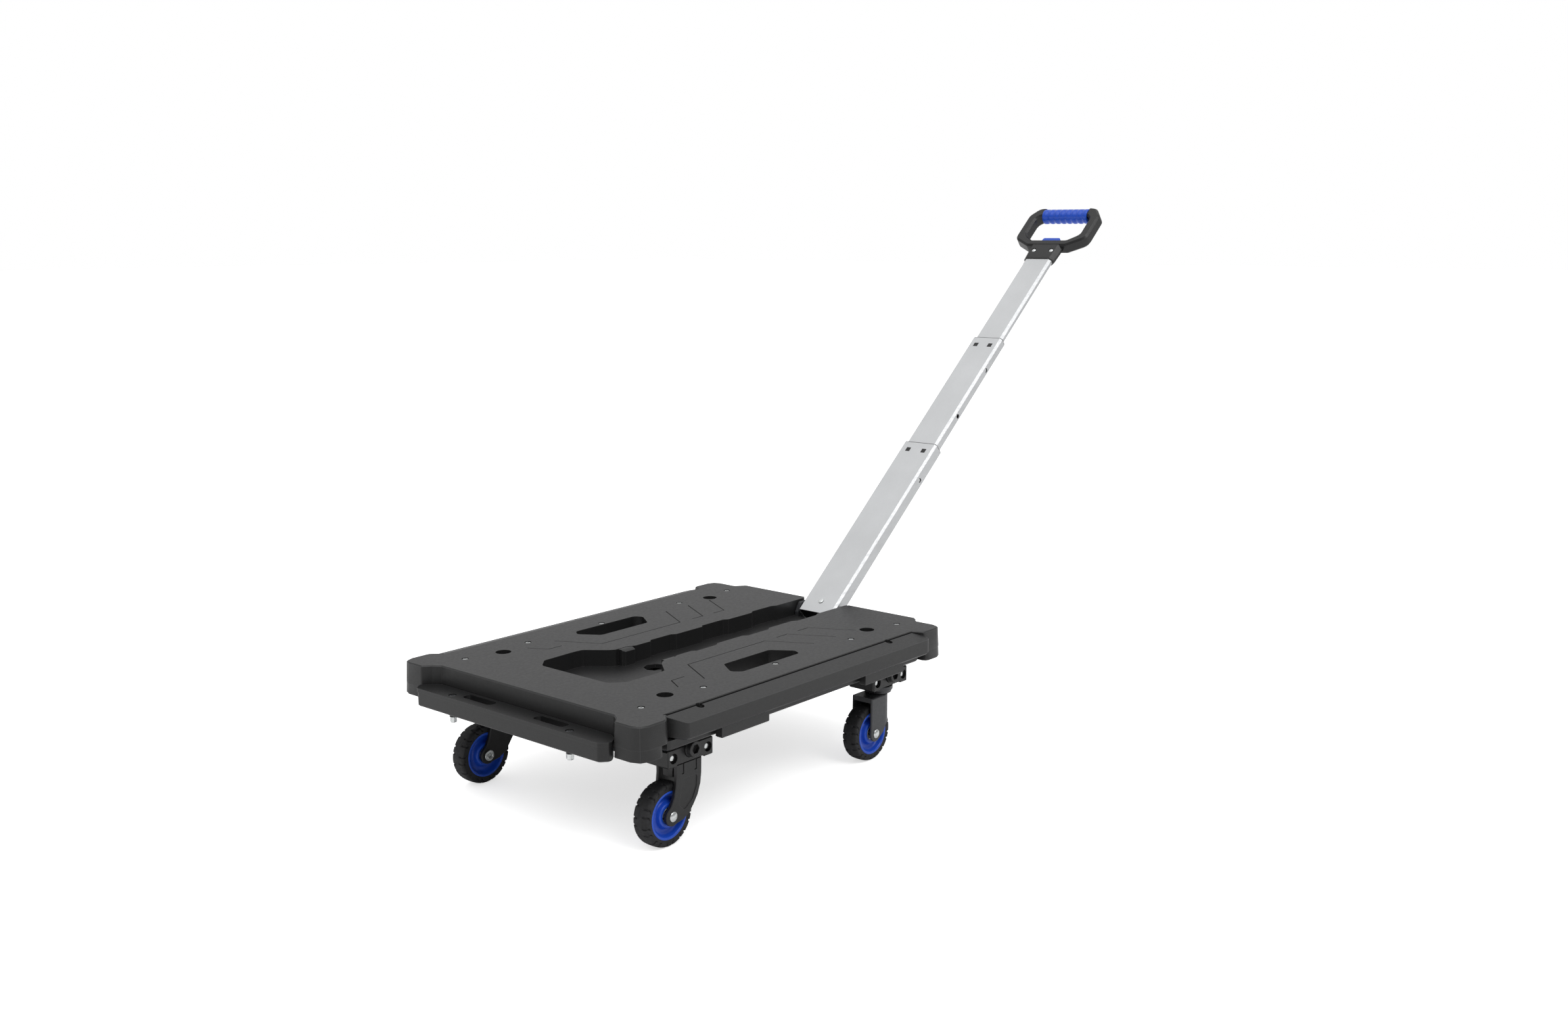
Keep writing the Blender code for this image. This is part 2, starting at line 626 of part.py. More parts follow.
# Hinge in the rear pocket of the deck.
pivot_x, pivot_z = pivot.x, pivot.z
cheek = [(256.8, -31.2), (284.6, -31.2), (284.6, -9.0), (280.5, -2.8), (264.5, -2.8), (256.8, -16.0)]
bracket = body("hinge_bracket", slab(rounded(cheek, 2.5, 3), -36.0, 36.0, axis="Y"), COATED)
bore = rod(3.5, -50, 50, axis="Y", at=(pivot_x, 0, pivot_z), steps=16)
bracket_cuts = [body("bracket slot", box(250, 300, -30.4, 30.4, -28.6, 5)), body("bracket bore", bore)]
boolean(bracket, bracket_cuts, "DIFFERENCE")
body("hinge_pin", rod(3.2, -35.9, 35.9, axis="Y", at=(pivot_x, 0, pivot_z), steps=16, edge=0.5), STEEL, True)
plug = body("hinge_plug", bar(section(57.0, 19.0, 2.0), 0.6, 30.0), BLACK, frame=LEAN)
plug_bores = [rod(3.6, -50, 50, axis="Y", at=(PIVOT_S, 0, PIVOT_N), steps=20)]
boolean(plug, [body("plug pin bore", plug_bores[0], frame=LEAN)], "DIFFERENCE")
rivet_bore = rod(2.9, -40, 5, at=(20.2, 0, 0), steps=16)
boolean(plug, [body("plug rivet bore", rivet_bore, frame=LEAN)], "DIFFERENCE")
rivet = [(0, -21.6), (2.6, -21.6), (2.6, 0.3), (4.4, 0.3), (4.0, 1.0), (2.2, 1.4), (0, 1.5)]
body("plug_rivet", lathe(rivet, "Z", (20.2, 0, 0), 16), STEEL, True, LEAN)

# Handle head: a socket on the inner tube that carries a loop.
LOOP_FRONT = -2.0
LOOP_BACK = -22.2
GRIP_S = 878.9
GRIP_N = -12.1
outer_loop = [(795.0, 36.0, 8), (813.8, 67.7, 16), (871.0, 67.7, 16), (891.3, 53.5, 16)]
inner_loop = [(809.5, 33.5, 8), (823.0, 51.2, 12), (872.0, 51.2, 12)]
across = rounded(both_sides(outer_loop), 8, 3)
opening = anticlockwise(rounded(both_sides(inner_loop), 8, 3))
head = body(
    "handle_head",
    slab(across, LOOP_BACK, LOOP_FRONT, low_edge=3.2, high_edge=3.2),
    BLACK,
    frame=LEAN,
)
wide = offset(opening, -4.0)
hole = [(wide, LOOP_BACK - 0.8), (opening, LOOP_BACK + 3.2)]
hole += [(opening, LOOP_FRONT - 3.2), (wide, LOOP_FRONT + 0.8)]
head_cuts = [body("loop opening", loft(hole), frame=LEAN)]
head_cuts.append(body("grip notch", box(855.0, 900.0, -42.3, 42.3, -40, 20), frame=LEAN))
boolean(head, head_cuts, "DIFFERENCE")
core = rod(7.0, -46.5, 46.5, axis="Y", at=(GRIP_S, 0, GRIP_N), steps=20)
boolean(head, [body("grip core", core, frame=LEAN)], "UNION")
socket = [(section(53.6, 14.8, 5.2, -11.3), SOCKET), (section(56.6, 17.2, 6.2, -11.3), SOCKET + 2.6)]
socket.append((section(61.4, 17.2, 6.5, -11.3), 801.0))
boolean(head, [body("socket", loft(socket, "X"), frame=LEAN)], "UNION")
socket_bore = bar(section(50.2, 13.4, 3.7), 750.0, 792.6)
well = slab([(797.6, -17.8), (797.6, 17.8), (816.0, 17.8), (816.0, -17.8)], -19.5, -6.9)
channel = rod(2.9, 780.0, 800.0, axis="X", at=(0, 0, TUBE_N), steps=16)
tools = [body("socket bore", socket_bore, frame=LEAN), body("button well", well, frame=LEAN)]
tools.append(body("rod channel", channel, frame=LEAN))
boolean(head, tools, "DIFFERENCE")

button_half = [(803.2, 17.5, 1), (811.0, 17.5, 1), (819.2, 15.4, 3)]
button_plan = rounded(both_sides(button_half), 1, 3)
button = body("release_button", slab(button_plan, -19.2, -7.2, low_edge=0.9, high_edge=0.9), BLUE, frame=LEAN)
link = rod(2.1, 511.5, 808.0, axis="X", at=(0, 0, TUBE_N), steps=12)
boolean(button, [body("release rod", link, frame=LEAN)], "UNION")

ribs = [(7.4, -42.0), (11.6, -42.0), (12.2, -41.2)]
for k in range(7):
    low = -37.8 + 10.8 * k
    ribs += [(12.2, low + 1.0), (11.0, low + 3.8), (11.0, low + 7.0), (12.2, low + 9.8)]
ribs += [(12.2, 41.2), (11.6, 42.0), (7.4, 42.0)]
grip = lathe(ribs, "Y", (GRIP_S, 0, GRIP_N), 16, closed=True)
body("grip_sleeve", grip, BLUE, True, LEAN)

# Casters, modelled about their own centre line at +Y and mirrored to the other side.
INBOARD = 146.0
OUTBOARD = 179.2
CENTRE = (INBOARD + OUTBOARD) / 2
AXLE_X = -TRAIL


def fork_foot(left_x, left_z, right_x, right_z, radius, steps=7):
    """The round lower end of a fork, from its front edge round under the axle to its rear edge."""
    first = math.atan2(left_z - WHEEL_Z, left_x - AXLE_X)
    last = math.atan2(right_z - WHEEL_Z, right_x - AXLE_X)
    if last < first:
        last += 2 * math.pi
    arc = []
    for k in range(steps + 1):
        turn = first + (last - first) * k / steps
        arc.append((AXLE_X + radius * math.cos(turn), WHEEL_Z + radius * math.sin(turn)))
    return arc


def moulded_fork():
    outline = [(-20.3, -71.1), (-19.8, -85.3), (-21.1, -96.1), (-24.2, -108.5), (-28.8, -117.8)]
    outline += fork_foot(-35.4, -123.8, -19.5, -140.0, 11.4)
    outline += [(-8.7, -138.0), (0.6, -132.5), (6.8, -125.6), (14.6, -114.7), (19.3, -102.3)]
    outline += [(21.1, -89.9), (21.6, -71.1)]
    return slab(outline, INBOARD, OUTBOARD, axis="Y", low_edge=0.8, high_edge=0.8)


def pressed_fork():
    outline = [(-35.5, -80.9), (-36.4, -127.0)]
    outline += fork_foot(-36.6, -130.2, -20.0, -139.8, 10.9)
    outline += [(-9.5, -131.5), (-3.7, -122.5), (2.5, -116.0), (6.4, -108.5), (9.5, -100.8), (9.5, -83.2), (7.2, -80.9)]
    return slab(outline, INBOARD, OUTBOARD, axis="Y", low_edge=1.2, high_edge=1.2)


def bent_strip(front, half, low, high):
    """A slab with straight sides and a half-round back, like the plan of a fork bent from one strip."""
    outline = [(front, CENTRE - half), (front, CENTRE + half)]
    for k in range(13):
        turn = math.pi / 2 - math.pi * k / 12
        outline.append((-7.1 + half * math.cos(turn), CENTRE + half * math.sin(turn)))
    return slab(outline, low, high)


def caster(end, x, s):
    frame = Matrix.Translation((x, 0, 0)) @ Matrix.Diagonal((1, s, 1, 1))
    tag = f"{end}_{'left' if s > 0 else 'right'}"

    profile = [(141.2, -69.4), (142.6, -70.8), (181.7, -70.8), (BLOCK_OUTER, -69.6), (BLOCK_OUTER, -50.6)]
    profile += [(182.2, MOUNT_BOTTOM - 0.15), (147.0, MOUNT_BOTTOM - 0.15), (142.6, -51.2), (141.2, -54.0)]
    block = slab(profile, -BLOCK_HALF, BLOCK_HALF, axis="X", low_edge=2.0, high_edge=2.0)
    block = body(f"fold_block_{tag}", block, BLACK, frame=frame)
    cuts = [
        box(-14.0, 14.0, 130, FOLD_Y + 6.5, -80, -40),
        box(-23.0, 23.0, 130, 190, -80, -68.6),
        rod(11.3, 171.4, 190, axis="Y", at=(0, 0, BUTTON_Z), steps=20),
        rod(2.9, -50, 50, axis="X", at=(0, FOLD_Y, FOLD_Z), steps=12),
        rod(6.2, 178.9, 190, axis="Y", at=(-28.1, 0, -60.3), steps=12),
        rod(6.2, 178.9, 190, axis="Y", at=(28.1, 0, -60.3), steps=12),
    ]
    names = ("notch", "under", "well", "bore", "counterbore", "counterbore")
    tools = [body(f"block {part} {tag}", cut, frame=frame) for part, cut in zip(names, cuts)]
    boolean(block, tools, "DIFFERENCE")

    pin = rod(2.6, 0.2 - BLOCK_HALF, BLOCK_HALF - 0.2, axis="X", at=(0, FOLD_Y, FOLD_Z), steps=12, edge=0.4)
    body(f"fold_pin_{tag}", pin, STEEL, True, frame)

    profile = [(0, 176.0), (10.9, 176.0), (10.9, 184.6), (10.2, 185.4), (9.4, 190.0), (8.8, 190.6), (0, 190.6)]
    knob = body(f"fold_button_{tag}", lathe(profile, "Y", (0, 0, BUTTON_Z), 20), BLACK, True, frame)
    key = body(f"key {tag}", rod(5.8, 186.0, 195, axis="Y", at=(0, 0, BUTTON_Z), steps=6), frame=frame)
    boolean(knob, [key], "DIFFERENCE")

    if end == "front":
        arms = body(f"fork_{tag}", moulded_fork(), BLACK, frame=frame)
        spaces = [box(-70, 40, 150.3, 174.8, -150, -80.5), box(-70, -14.0, 150.3, 174.8, -90, -75.0)]
    else:
        arms = body(f"fork_{tag}", pressed_fork(), COATED, frame=frame)
        bend = bent_strip(-60.0, OUTBOARD - CENTRE, -160, -60)
        boolean(arms, [body(f"fork bend {tag}", bend, frame=frame)], "INTERSECT")
        inside = OUTBOARD - CENTRE - 2.8
        spaces = [bent_strip(-33.0, inside, -150, -83.6), box(-60, -30.0, 148.8, 176.4, -150, -87.2)]
        spaces.append(rod(40.2, 149.6, 174.2, axis="Y", at=(AXLE_X, 0, WHEEL_Z), steps=40))
        spaces.append(rod(3.9, -90, -75, at=(0, CASTER_Y, 0), steps=16))
        race = [(0, -71.1), (19.8, -71.1), (19.8, -76.6), (17.8, -77.4), (17.8, -80.5), (3.5, -80.5), (3.5, -84.0)]
        race += [(6.0, -84.0), (6.0, -86.2), (0, -86.8)]
        body(f"swivel_race_{tag}", lathe(race, "Z", (0, CASTER_Y, 0), 20), COATED, True, frame)
    spaces.append(rod(4.2, 130, 195, axis="Y", at=(AXLE_X, 0, WHEEL_Z), steps=12))
    tools = [body(f"fork space {i} {tag}", cut, frame=frame) for i, cut in enumerate(spaces)]
    boolean(arms, tools, "DIFFERENCE")

    middle = CASTER_Y
    tread = [(29.1, -11.0), (36.6, -11.0), (37.3, -9.2), (WHEEL_RADIUS, -5.7)]
    tread = [(r, h + middle) for r, h in tread + [(r, -h) for r, h in reversed(tread)]]
    body(f"tyre_{tag}", lathe(tread, "Y", (AXLE_X, 0, WHEEL_Z), 28, True), RUBBER, True, frame)
    wheel = [(4.2, -11.2), (13.6, -11.2), (13.6, -7.6), (25.6, -7.0), (25.6, -11.2), (28.8, -11.2)]
    wheel = [(r, h + middle) for r, h in wheel + [(r, -h) for r, h in reversed(wheel)]]
    body(f"hub_{tag}", lathe(wheel, "Y", (AXLE_X, 0, WHEEL_Z), 20, True), BLUE, True, frame)
    axle = [(0, 147.5), (2.6, 147.5), (2.6, 143.7), (6.6, 143.7), (7.0, 144.3), (7.0, 145.7), (3.9, 145.7)]
    axle += [(3.9, 179.5), (5.9, 179.5), (5.9, 180.3), (4.6, 181.1), (0, 181.6)]
    body(f"axle_{tag}", lathe(axle, "Y", (AXLE_X, 0, WHEEL_Z), 12), STEEL, True, frame)


for end, x in (("front", -CASTER_X), ("rear", CASTER_X)):
    for s in (1, -1):
        caster(end, x, s)

# The whole cart is moved along X so that its bounding box is centred on the origin.
bpy.context.view_layer.update()
graph = bpy.context.evaluated_depsgraph_get()
reach = []
for piece in cart.objects:
    for corner in piece.evaluated_get(graph).bound_box:
        reach.append((piece.matrix_world @ Vector(corner)).x)
centre.location.x = -(min(reach) + max(reach)) / 2
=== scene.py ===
"""Looks of the folding platform cart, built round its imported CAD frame."""

import json
import math

import bmesh
import bpy
from mathutils import Matrix, Vector

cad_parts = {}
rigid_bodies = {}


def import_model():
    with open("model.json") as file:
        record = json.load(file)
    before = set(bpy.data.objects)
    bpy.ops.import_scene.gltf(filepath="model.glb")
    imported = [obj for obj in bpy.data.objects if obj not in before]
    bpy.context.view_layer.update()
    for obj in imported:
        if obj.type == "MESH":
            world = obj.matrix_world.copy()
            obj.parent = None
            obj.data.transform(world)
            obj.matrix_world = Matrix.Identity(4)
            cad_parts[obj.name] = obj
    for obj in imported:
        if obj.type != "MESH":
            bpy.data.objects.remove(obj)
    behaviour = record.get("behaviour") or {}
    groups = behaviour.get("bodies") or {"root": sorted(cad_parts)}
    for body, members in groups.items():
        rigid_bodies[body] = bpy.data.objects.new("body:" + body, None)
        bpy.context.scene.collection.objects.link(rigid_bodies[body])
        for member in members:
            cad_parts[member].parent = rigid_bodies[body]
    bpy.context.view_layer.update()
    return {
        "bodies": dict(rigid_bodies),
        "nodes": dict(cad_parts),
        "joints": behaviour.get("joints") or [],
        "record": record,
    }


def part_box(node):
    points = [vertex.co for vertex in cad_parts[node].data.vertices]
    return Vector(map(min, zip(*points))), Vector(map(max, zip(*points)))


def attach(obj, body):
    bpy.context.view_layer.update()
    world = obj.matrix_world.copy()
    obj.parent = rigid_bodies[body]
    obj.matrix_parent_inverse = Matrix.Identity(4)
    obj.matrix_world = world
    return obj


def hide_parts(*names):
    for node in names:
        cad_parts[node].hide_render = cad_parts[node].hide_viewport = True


for stale in list(bpy.data.objects):
    bpy.data.objects.remove(stale, do_unlink=True)

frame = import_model()
NODES = frame["nodes"]

MM = 0.001
DECK_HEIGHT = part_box("deck_top")[1].z
DECK_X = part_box("deck_base")[0].x + 0.3123
CASTER_Y = 161.9
TRAIL = 26.0
WHEEL_RADIUS = 38.0
WHEEL_Z = WHEEL_RADIUS - DECK_HEIGHT / MM
SCREW_ROWS = (-241.6, -140.3, -10.9, 140.7, 241.6)
SCREW_Y = 155.0
BLOCK_PINS = (-28.1, 28.1)
BLOCK_PIN_Z = -60.3
RIVET_S = 782.8
RIVET_Y = (-16.4, 16.4)
GRIP_S = 878.9
GRIP_N = -12.1
GRIP_HALF = 42.0
GRIP_RADIUS = 12.2
SCALLOP_PITCH = 10.8
LEAN = math.radians(40.21)
FOOT = (256.1, -10.7)
CASTERS = [(end, x, side) for end, x in (("front", -191.3), ("rear", 191.3)) for side in (1, -1)]


def tag(end, side):
    return f"{end}_{'left' if side > 0 else 'right'}"


# Camera and studio.
lens = bpy.data.cameras.new("camera")
lens.sensor_width = 36.0
lens.lens = 35.166
lens.clip_end = 100.0
camera = bpy.data.objects.new("camera", lens)
bpy.context.scene.collection.objects.link(camera)
right = Vector((0.644624, -0.764498, -0.001305))
down = Vector((-0.134110, -0.111400, -0.984685))
ahead = Vector((0.752644, 0.634927, -0.174339))
camera.matrix_world = Matrix.Translation((DECK_X - 1.39354, -1.33545, DECK_HEIGHT + 0.51799)) @ Matrix(
    (right, -down, -ahead)
).transposed().to_4x4()
bpy.context.scene.camera = camera
bpy.context.scene.view_settings.view_transform = "Standard"

# A dome that is bright overhead and dim at the horizon, and plain white where the camera sees it.
world = bpy.data.worlds.new("studio")
world.use_nodes = True
bpy.context.scene.world = world
sky = world.node_tree
direction = sky.nodes.new("ShaderNodeSeparateXYZ")
height = sky.nodes.new("ShaderNodeMapRange")
seen = sky.nodes.new("ShaderNodeLightPath")
level = sky.nodes.new("ShaderNodeMix")
height.interpolation_type = "SMOOTHSTEP"
height.inputs["From Min"].default_value = 0.05
height.inputs["From Max"].default_value = 0.85
height.inputs["To Min"].default_value = 0.24
height.inputs["To Max"].default_value = 0.95
level.inputs[3].default_value = 1.0
around = sky.nodes.new("ShaderNodeTexCoord").outputs["Generated"]
sky.links.new(around, direction.inputs["Vector"])
backdrop = sky.nodes.new("ShaderNodeVectorMath")
backdrop.operation = "DOT_PRODUCT"
backdrop.inputs[1].default_value = (0.764, 0.645, 0.0)
behind = sky.nodes.new("ShaderNodeMapRange")
behind.interpolation_type = "SMOOTHSTEP"
behind.inputs["From Min"].default_value = -0.1
behind.inputs["From Max"].default_value = 0.9
behind.inputs["To Min"].default_value = 0.16
behind.inputs["To Max"].default_value = 0.60
sky.links.new(direction.outputs["Z"], height.inputs["Value"])
sky.links.new(around, backdrop.inputs[0])
sky.links.new(backdrop.outputs["Value"], behind.inputs["Value"])
sky.links.new(behind.outputs["Result"], height.inputs["To Min"])
sky.links.new(seen.outputs["Is Camera Ray"], level.inputs[0])
sky.links.new(height.outputs["Result"], level.inputs[2])
sky.links.new(level.outputs[0], sky.nodes["Background"].inputs["Strength"])
sky.nodes["Background"].inputs["Color"].default_value = (1.0, 1.0, 1.0, 1.0)


def lamp(name, aim, strength, spread):
    """Soft light from one direction, given as the way that it travels."""
    data = bpy.data.lights.new(name, "SUN")
    data.energy = strength
    data.angle = math.radians(spread)
    made = bpy.data.objects.new(name, data)
    bpy.context.scene.collection.objects.link(made)
    made.rotation_euler = Vector(aim).to_track_quat("-Z", "Y").to_euler()


lamp("key", (0.55, 0.10, -1.0), 0.75, 50)
lamp("side", (0.05, 0.61, -0.78), 0.75, 28)

floor_mesh = bpy.data.meshes.new("floor")
floor_mesh.from_pydata([(-30, -30, 0), (30, -30, 0), (30, 30, 0), (-30, 30, 0)], [], [(0, 1, 2, 3)])
floor = bpy.data.objects.new("floor", floor_mesh)
bpy.context.scene.collection.objects.link(floor)


# Materials. Each is a node tree in the piece's own coordinates.
class Shader:
    """A Principled material and short ways to wire textures into it."""

    def __init__(self, name, colour, roughness, metallic=0.0, **fixed):
        self.material = bpy.data.materials.new(name)
        self.material.use_nodes = True
        self.tree = self.material.node_tree
        self.shader = self.tree.nodes["Principled BSDF"]
        self.shader.inputs["Base Color"].default_value = (*colour, 1.0)
        self.shader.inputs["Roughness"].default_value = roughness
        self.shader.inputs["Metallic"].default_value = metallic
        for key, value in fixed.items():
            self.shader.inputs[key.replace("_", " ")].default_value = value
        self.place = self.tree.nodes.new("ShaderNodeTexCoord").outputs["Object"]
        self.height = None

    def node(self, kind, **settings):
        made = self.tree.nodes.new(kind)
        for key, value in settings.items():
            if key in made.inputs:
                made.inputs[key].default_value = value
            else:
                setattr(made, key, value)
        return made

    def link(self, start, end):
        self.tree.links.new(start, end)

    def noise(self, scale, detail=4.0, stretch=(1, 1, 1), rotate=(0, 0, 0), roughness=0.5):
        spread = self.node("ShaderNodeMapping")
        spread.inputs["Scale"].default_value = stretch
        spread.inputs["Rotation"].default_value = rotate
        self.link(self.place, spread.inputs["Vector"])
        made = self.node("ShaderNodeTexNoise", Scale=scale, Detail=detail, Roughness=roughness)
        self.link(spread.outputs["Vector"], made.inputs["Vector"])
        return made.outputs["Fac"]

    def ramp(self, value, low, high, start=0.3, end=0.7):
        made = self.node("ShaderNodeMapRange")
        made.inputs["From Min"].default_value = start
        made.inputs["From Max"].default_value = end
        made.inputs["To Min"].default_value = low
        made.inputs["To Max"].default_value = high
        self.link(value, made.inputs["Value"])
        return made.outputs["Result"]

    def mix(self, value, first, second):
        made = self.node("ShaderNodeMix", data_type="RGBA")
        self.link(value, made.inputs["Factor"])
        made.inputs[6].default_value = (*first, 1.0)
        made.inputs[7].default_value = (*second, 1.0)
        return made.outputs[2]

    def bump(self, value, distance, strength=1.0):
        made = self.node("ShaderNodeBump", Strength=strength, Distance=distance)
        self.link(value, made.inputs["Height"])
        if self.height is not None:
            self.link(self.height, made.inputs["Normal"])
        self.height = made.outputs["Normal"]
        self.link(self.height, self.shader.inputs["Normal"])

    def colour(self, value):
        self.link(value, self.shader.inputs["Base Color"])

    def gloss(self, value):
        self.link(value, self.shader.inputs["Roughness"])

    def painted_edge_highlight(self, radius):
        """Painted highlight mask: 1 on every edge, in or out, and 0 on flat faces, from how far a rounded
        normal turns.
        """
        # The mask marks where a painted highlight, a lighter colour, stands in for edges catching the
        # light.
        bevel = self.node("ShaderNodeBevel", samples=4, Radius=radius)
        face = self.node("ShaderNodeNewGeometry")
        dot = self.node("ShaderNodeVectorMath", operation="DOT_PRODUCT")
        self.link(bevel.outputs["Normal"], dot.inputs[0])
        self.link(face.outputs["Normal"], dot.inputs[1])
        return self.ramp(dot.outputs["Value"], 1.0, 0.0, 0.93, 0.998)


def moulded(name, dark, light, rough, grain, depth, edge_highlight_tone=2.0):
    """Moulded plastic: a fine speckle, a spark-eroded grain, and a painted highlight: a lighter colour on
    every edge in place of edges catching the light.
    """
    made = Shader(name, dark, rough, Specular_IOR_Level=0.4)
    speckle = made.ramp(made.noise(900, 3, roughness=0.7), 0, 1, 0.35, 0.65)
    # Painted highlight: every edge, in or out, is mixed towards a lighter colour, as if rounded edges
    # caught the light.
    edge = made.node("ShaderNodeMix", data_type="RGBA")
    made.link(made.painted_edge_highlight(0.0014), edge.inputs["Factor"])
    made.link(made.mix(speckle, dark, light), edge.inputs[6])
    edge.inputs[7].default_value = (*(c * edge_highlight_tone for c in light), 1.0)
    made.colour(edge.outputs[2])
    made.gloss(made.ramp(made.noise(260, 5), rough - 0.03, rough + 0.04))
    made.bump(made.noise(grain, 3, roughness=0.6), depth, 0.35)
    return made.material


def blasted(name, tint):
    """Anodised aluminium with a sand-blasted face: a fine speckle, faint drawing lines along the tube."""
    made = Shader(name, tint, 0.42, 0.55, Specular_IOR_Level=0.6)
    speckle = made.noise(2600, 2, roughness=0.7)
    cloud = made.noise(18, 4)
    drawn = made.noise(420, 3, stretch=(0.03, 1, 1), rotate=(0, LEAN, 0))
    darker = tuple(c * 0.86 for c in tint)
    both = made.node("ShaderNodeMath", operation="MULTIPLY_ADD")
    made.link(speckle, both.inputs[0])
    both.inputs[1].default_value = 0.75
    made.link(made.ramp(cloud, 0.0, 0.25), both.inputs[2])
    made.colour(made.mix(made.ramp(both.outputs["Value"], 0, 1, 0.25, 0.75), darker, tint))
    made.gloss(made.ramp(drawn, 0.36, 0.50))
    made.bump(speckle, 0.00006, 0.5)
    made.bump(drawn, 0.00002, 0.4)
    return made.material


def plated(name, tint, rough, metal=1.0):
    """Zinc-plated steel with a fine mottled gloss."""
    made = Shader(name, tint, rough, metal)
    made.colour(made.mix(made.ramp(made.noise(160, 4), 0, 1), tuple(c * 0.82 for c in tint), tint))
    made.gloss(made.ramp(made.noise(500, 4), rough - 0.08, rough + 0.12))
    made.bump(made.noise(900, 3), 0.00003, 0.4)
    return made.material


def rubber(name, tint):
    made = Shader(name, tint, 0.62, Specular_IOR_Level=0.35)
    made.colour(made.mix(made.ramp(made.noise(70, 5), 0, 1), tint, tuple(c * 1.7 for c in tint)))
    made.gloss(made.ramp(made.noise(220, 5), 0.5, 0.74))
    made.bump(made.noise(1500, 3), 0.00008, 0.5)
    return made.material


# Plastics: darker and lighter tone, roughness, grain scale, grain depth, and the painted edge highlight's
# tone as a multiple of the lighter tone.
DECK = moulded("deck_plastic", (0.0105, 0.0105, 0.0108), (0.0135, 0.0135, 0.0138), 0.42, 1500, 0.00012, 2.6)
BLACK = moulded("black_plastic", (0.0095, 0.0095, 0.0098), (0.0125, 0.0125, 0.0128), 0.38, 1800, 0.00008)
BLUE = moulded("blue_plastic", (0.010, 0.066, 0.46), (0.014, 0.078, 0.52), 0.30, 1600, 0.00005, 1.3)
ALUMINIUM = blasted("tube_aluminium", (0.60, 0.61, 0.62))
STEEL = plated("bright_steel", (0.72, 0.74, 0.74), 0.28)
DULL = plated("pressed_steel", (0.045, 0.046, 0.050), 0.36, 0.2)
RUBBER = rubber("tyre_rubber", (0.011, 0.011, 0.012))

studio_floor = Shader("floor", (0.93, 0.93, 0.93), 0.9)
speck = studio_floor.ramp(studio_floor.noise(3, 2), 0, 1)
studio_floor.colour(studio_floor.mix(speck, (0.92, 0.92, 0.92), (0.94, 0.94, 0.94)))
seen_floor = studio_floor.node("ShaderNodeLightPath")
glow = studio_floor.node("ShaderNodeMath", operation="MULTIPLY")
glow.inputs[1].default_value = 0.62
studio_floor.link(seen_floor.outputs["Is Camera Ray"], glow.inputs[0])
studio_floor.link(glow.outputs["Value"], studio_floor.shader.inputs["Emission Strength"])
studio_floor.shader.inputs["Emission Color"].default_value = (1.0, 1.0, 1.0, 1.0)
floor_mesh.materials.append(studio_floor.material)


def paint(thing, material):
    thing.data.materials.clear()
    thing.data.materials.append(material)


def soften(thing, width):
    """Small radii on a mesh's edges, as modifiers, with its corners welded first."""
    weld = thing.modifiers.new("weld", "WELD")
    weld.merge_threshold = 0.00001
    bevel = thing.modifiers.new("edge radius", "BEVEL")
    bevel.width = width
    bevel.segments = 2
    bevel.limit_method = "ANGLE"
    bevel.angle_limit = math.radians(35)
    bevel.harden_normals = False
    bevel.use_clamp_overlap = True
    for face in thing.data.polygons:
        face.use_smooth = True
    weighted = thing.modifiers.new("normals", "WEIGHTED_NORMAL")
    weighted.keep_sharp = False
    weighted.weight = 80


# Mesh helpers. Lengths are in millimetres, from the deck's centre and the level of its top.
ON_DECK = Matrix.Translation((DECK_X, 0, DECK_HEIGHT)) @ Matrix.Scale(MM, 4)
ON_HANDLE = ON_DECK @ Matrix.Translation((FOOT[0], 0, FOOT[1])) @ Matrix.Rotation(-LEAN, 4, "Y")
AXIS = {
    "X": Matrix(((0, 0, 1, 0), (1, 0, 0, 0), (0, 1, 0, 0), (0, 0, 0, 1))),
    "Y": Matrix(((1, 0, 0, 0), (0, 0, 1, 0), (0, 1, 0, 0), (0, 0, 0, 1))),
    "Z": Matrix.Identity(4),
}


def at_caster(x, side):
    return ON_DECK @ Matrix.Translation((x, 0, 0)) @ Matrix.Diagonal((1, side, 1, 1))


def grid(rows, ring=True):
    """A surface through rows of points, each row a closed ring, and the rows themselves a ring if asked."""
    made = bmesh.new()
    lines = [[made.verts.new(point) for point in row] for row in rows]
    pairs = list(zip(lines, lines[1:])) + ([(lines[-1], lines[0])] if ring else [])
    for first, second in pairs:
        for k in range(len(first)):
            made.faces.new((first[k - 1], first[k], second[k], second[k - 1]))
    return made


def lathe(profile, axis="Z", centre=(0, 0, 0), steps=64, closed=False):
    """Points (radius, height) turned about an axis through the centre."""
    rows = []
    for radius, height in profile:
        wide = max(radius, 1e-5)
        turns = [2 * math.pi * k / steps for k in range(steps)]
        rows.append([(wide * math.cos(turn), wide * math.sin(turn), height) for turn in turns])
    made = grid(rows, closed)
    made.transform(Matrix.Translation(centre) @ AXIS[axis])
    return made


def slab(outline, low, high, axis="Z", centre=(0, 0, 0)):
    """An outline carried from one level of an axis to another."""
    made = bmesh.new()
    ends = [[made.verts.new((a, b, level)) for a, b in outline] for level in (low, high)]
    for k in range(len(outline)):
        made.faces.new((ends[0][k - 1], ends[0][k], ends[1][k], ends[1][k - 1]))
    made.faces.new(ends[0])
    made.faces.new(ends[1])
    made.transform(Matrix.Translation(centre) @ AXIS[axis])
    return made


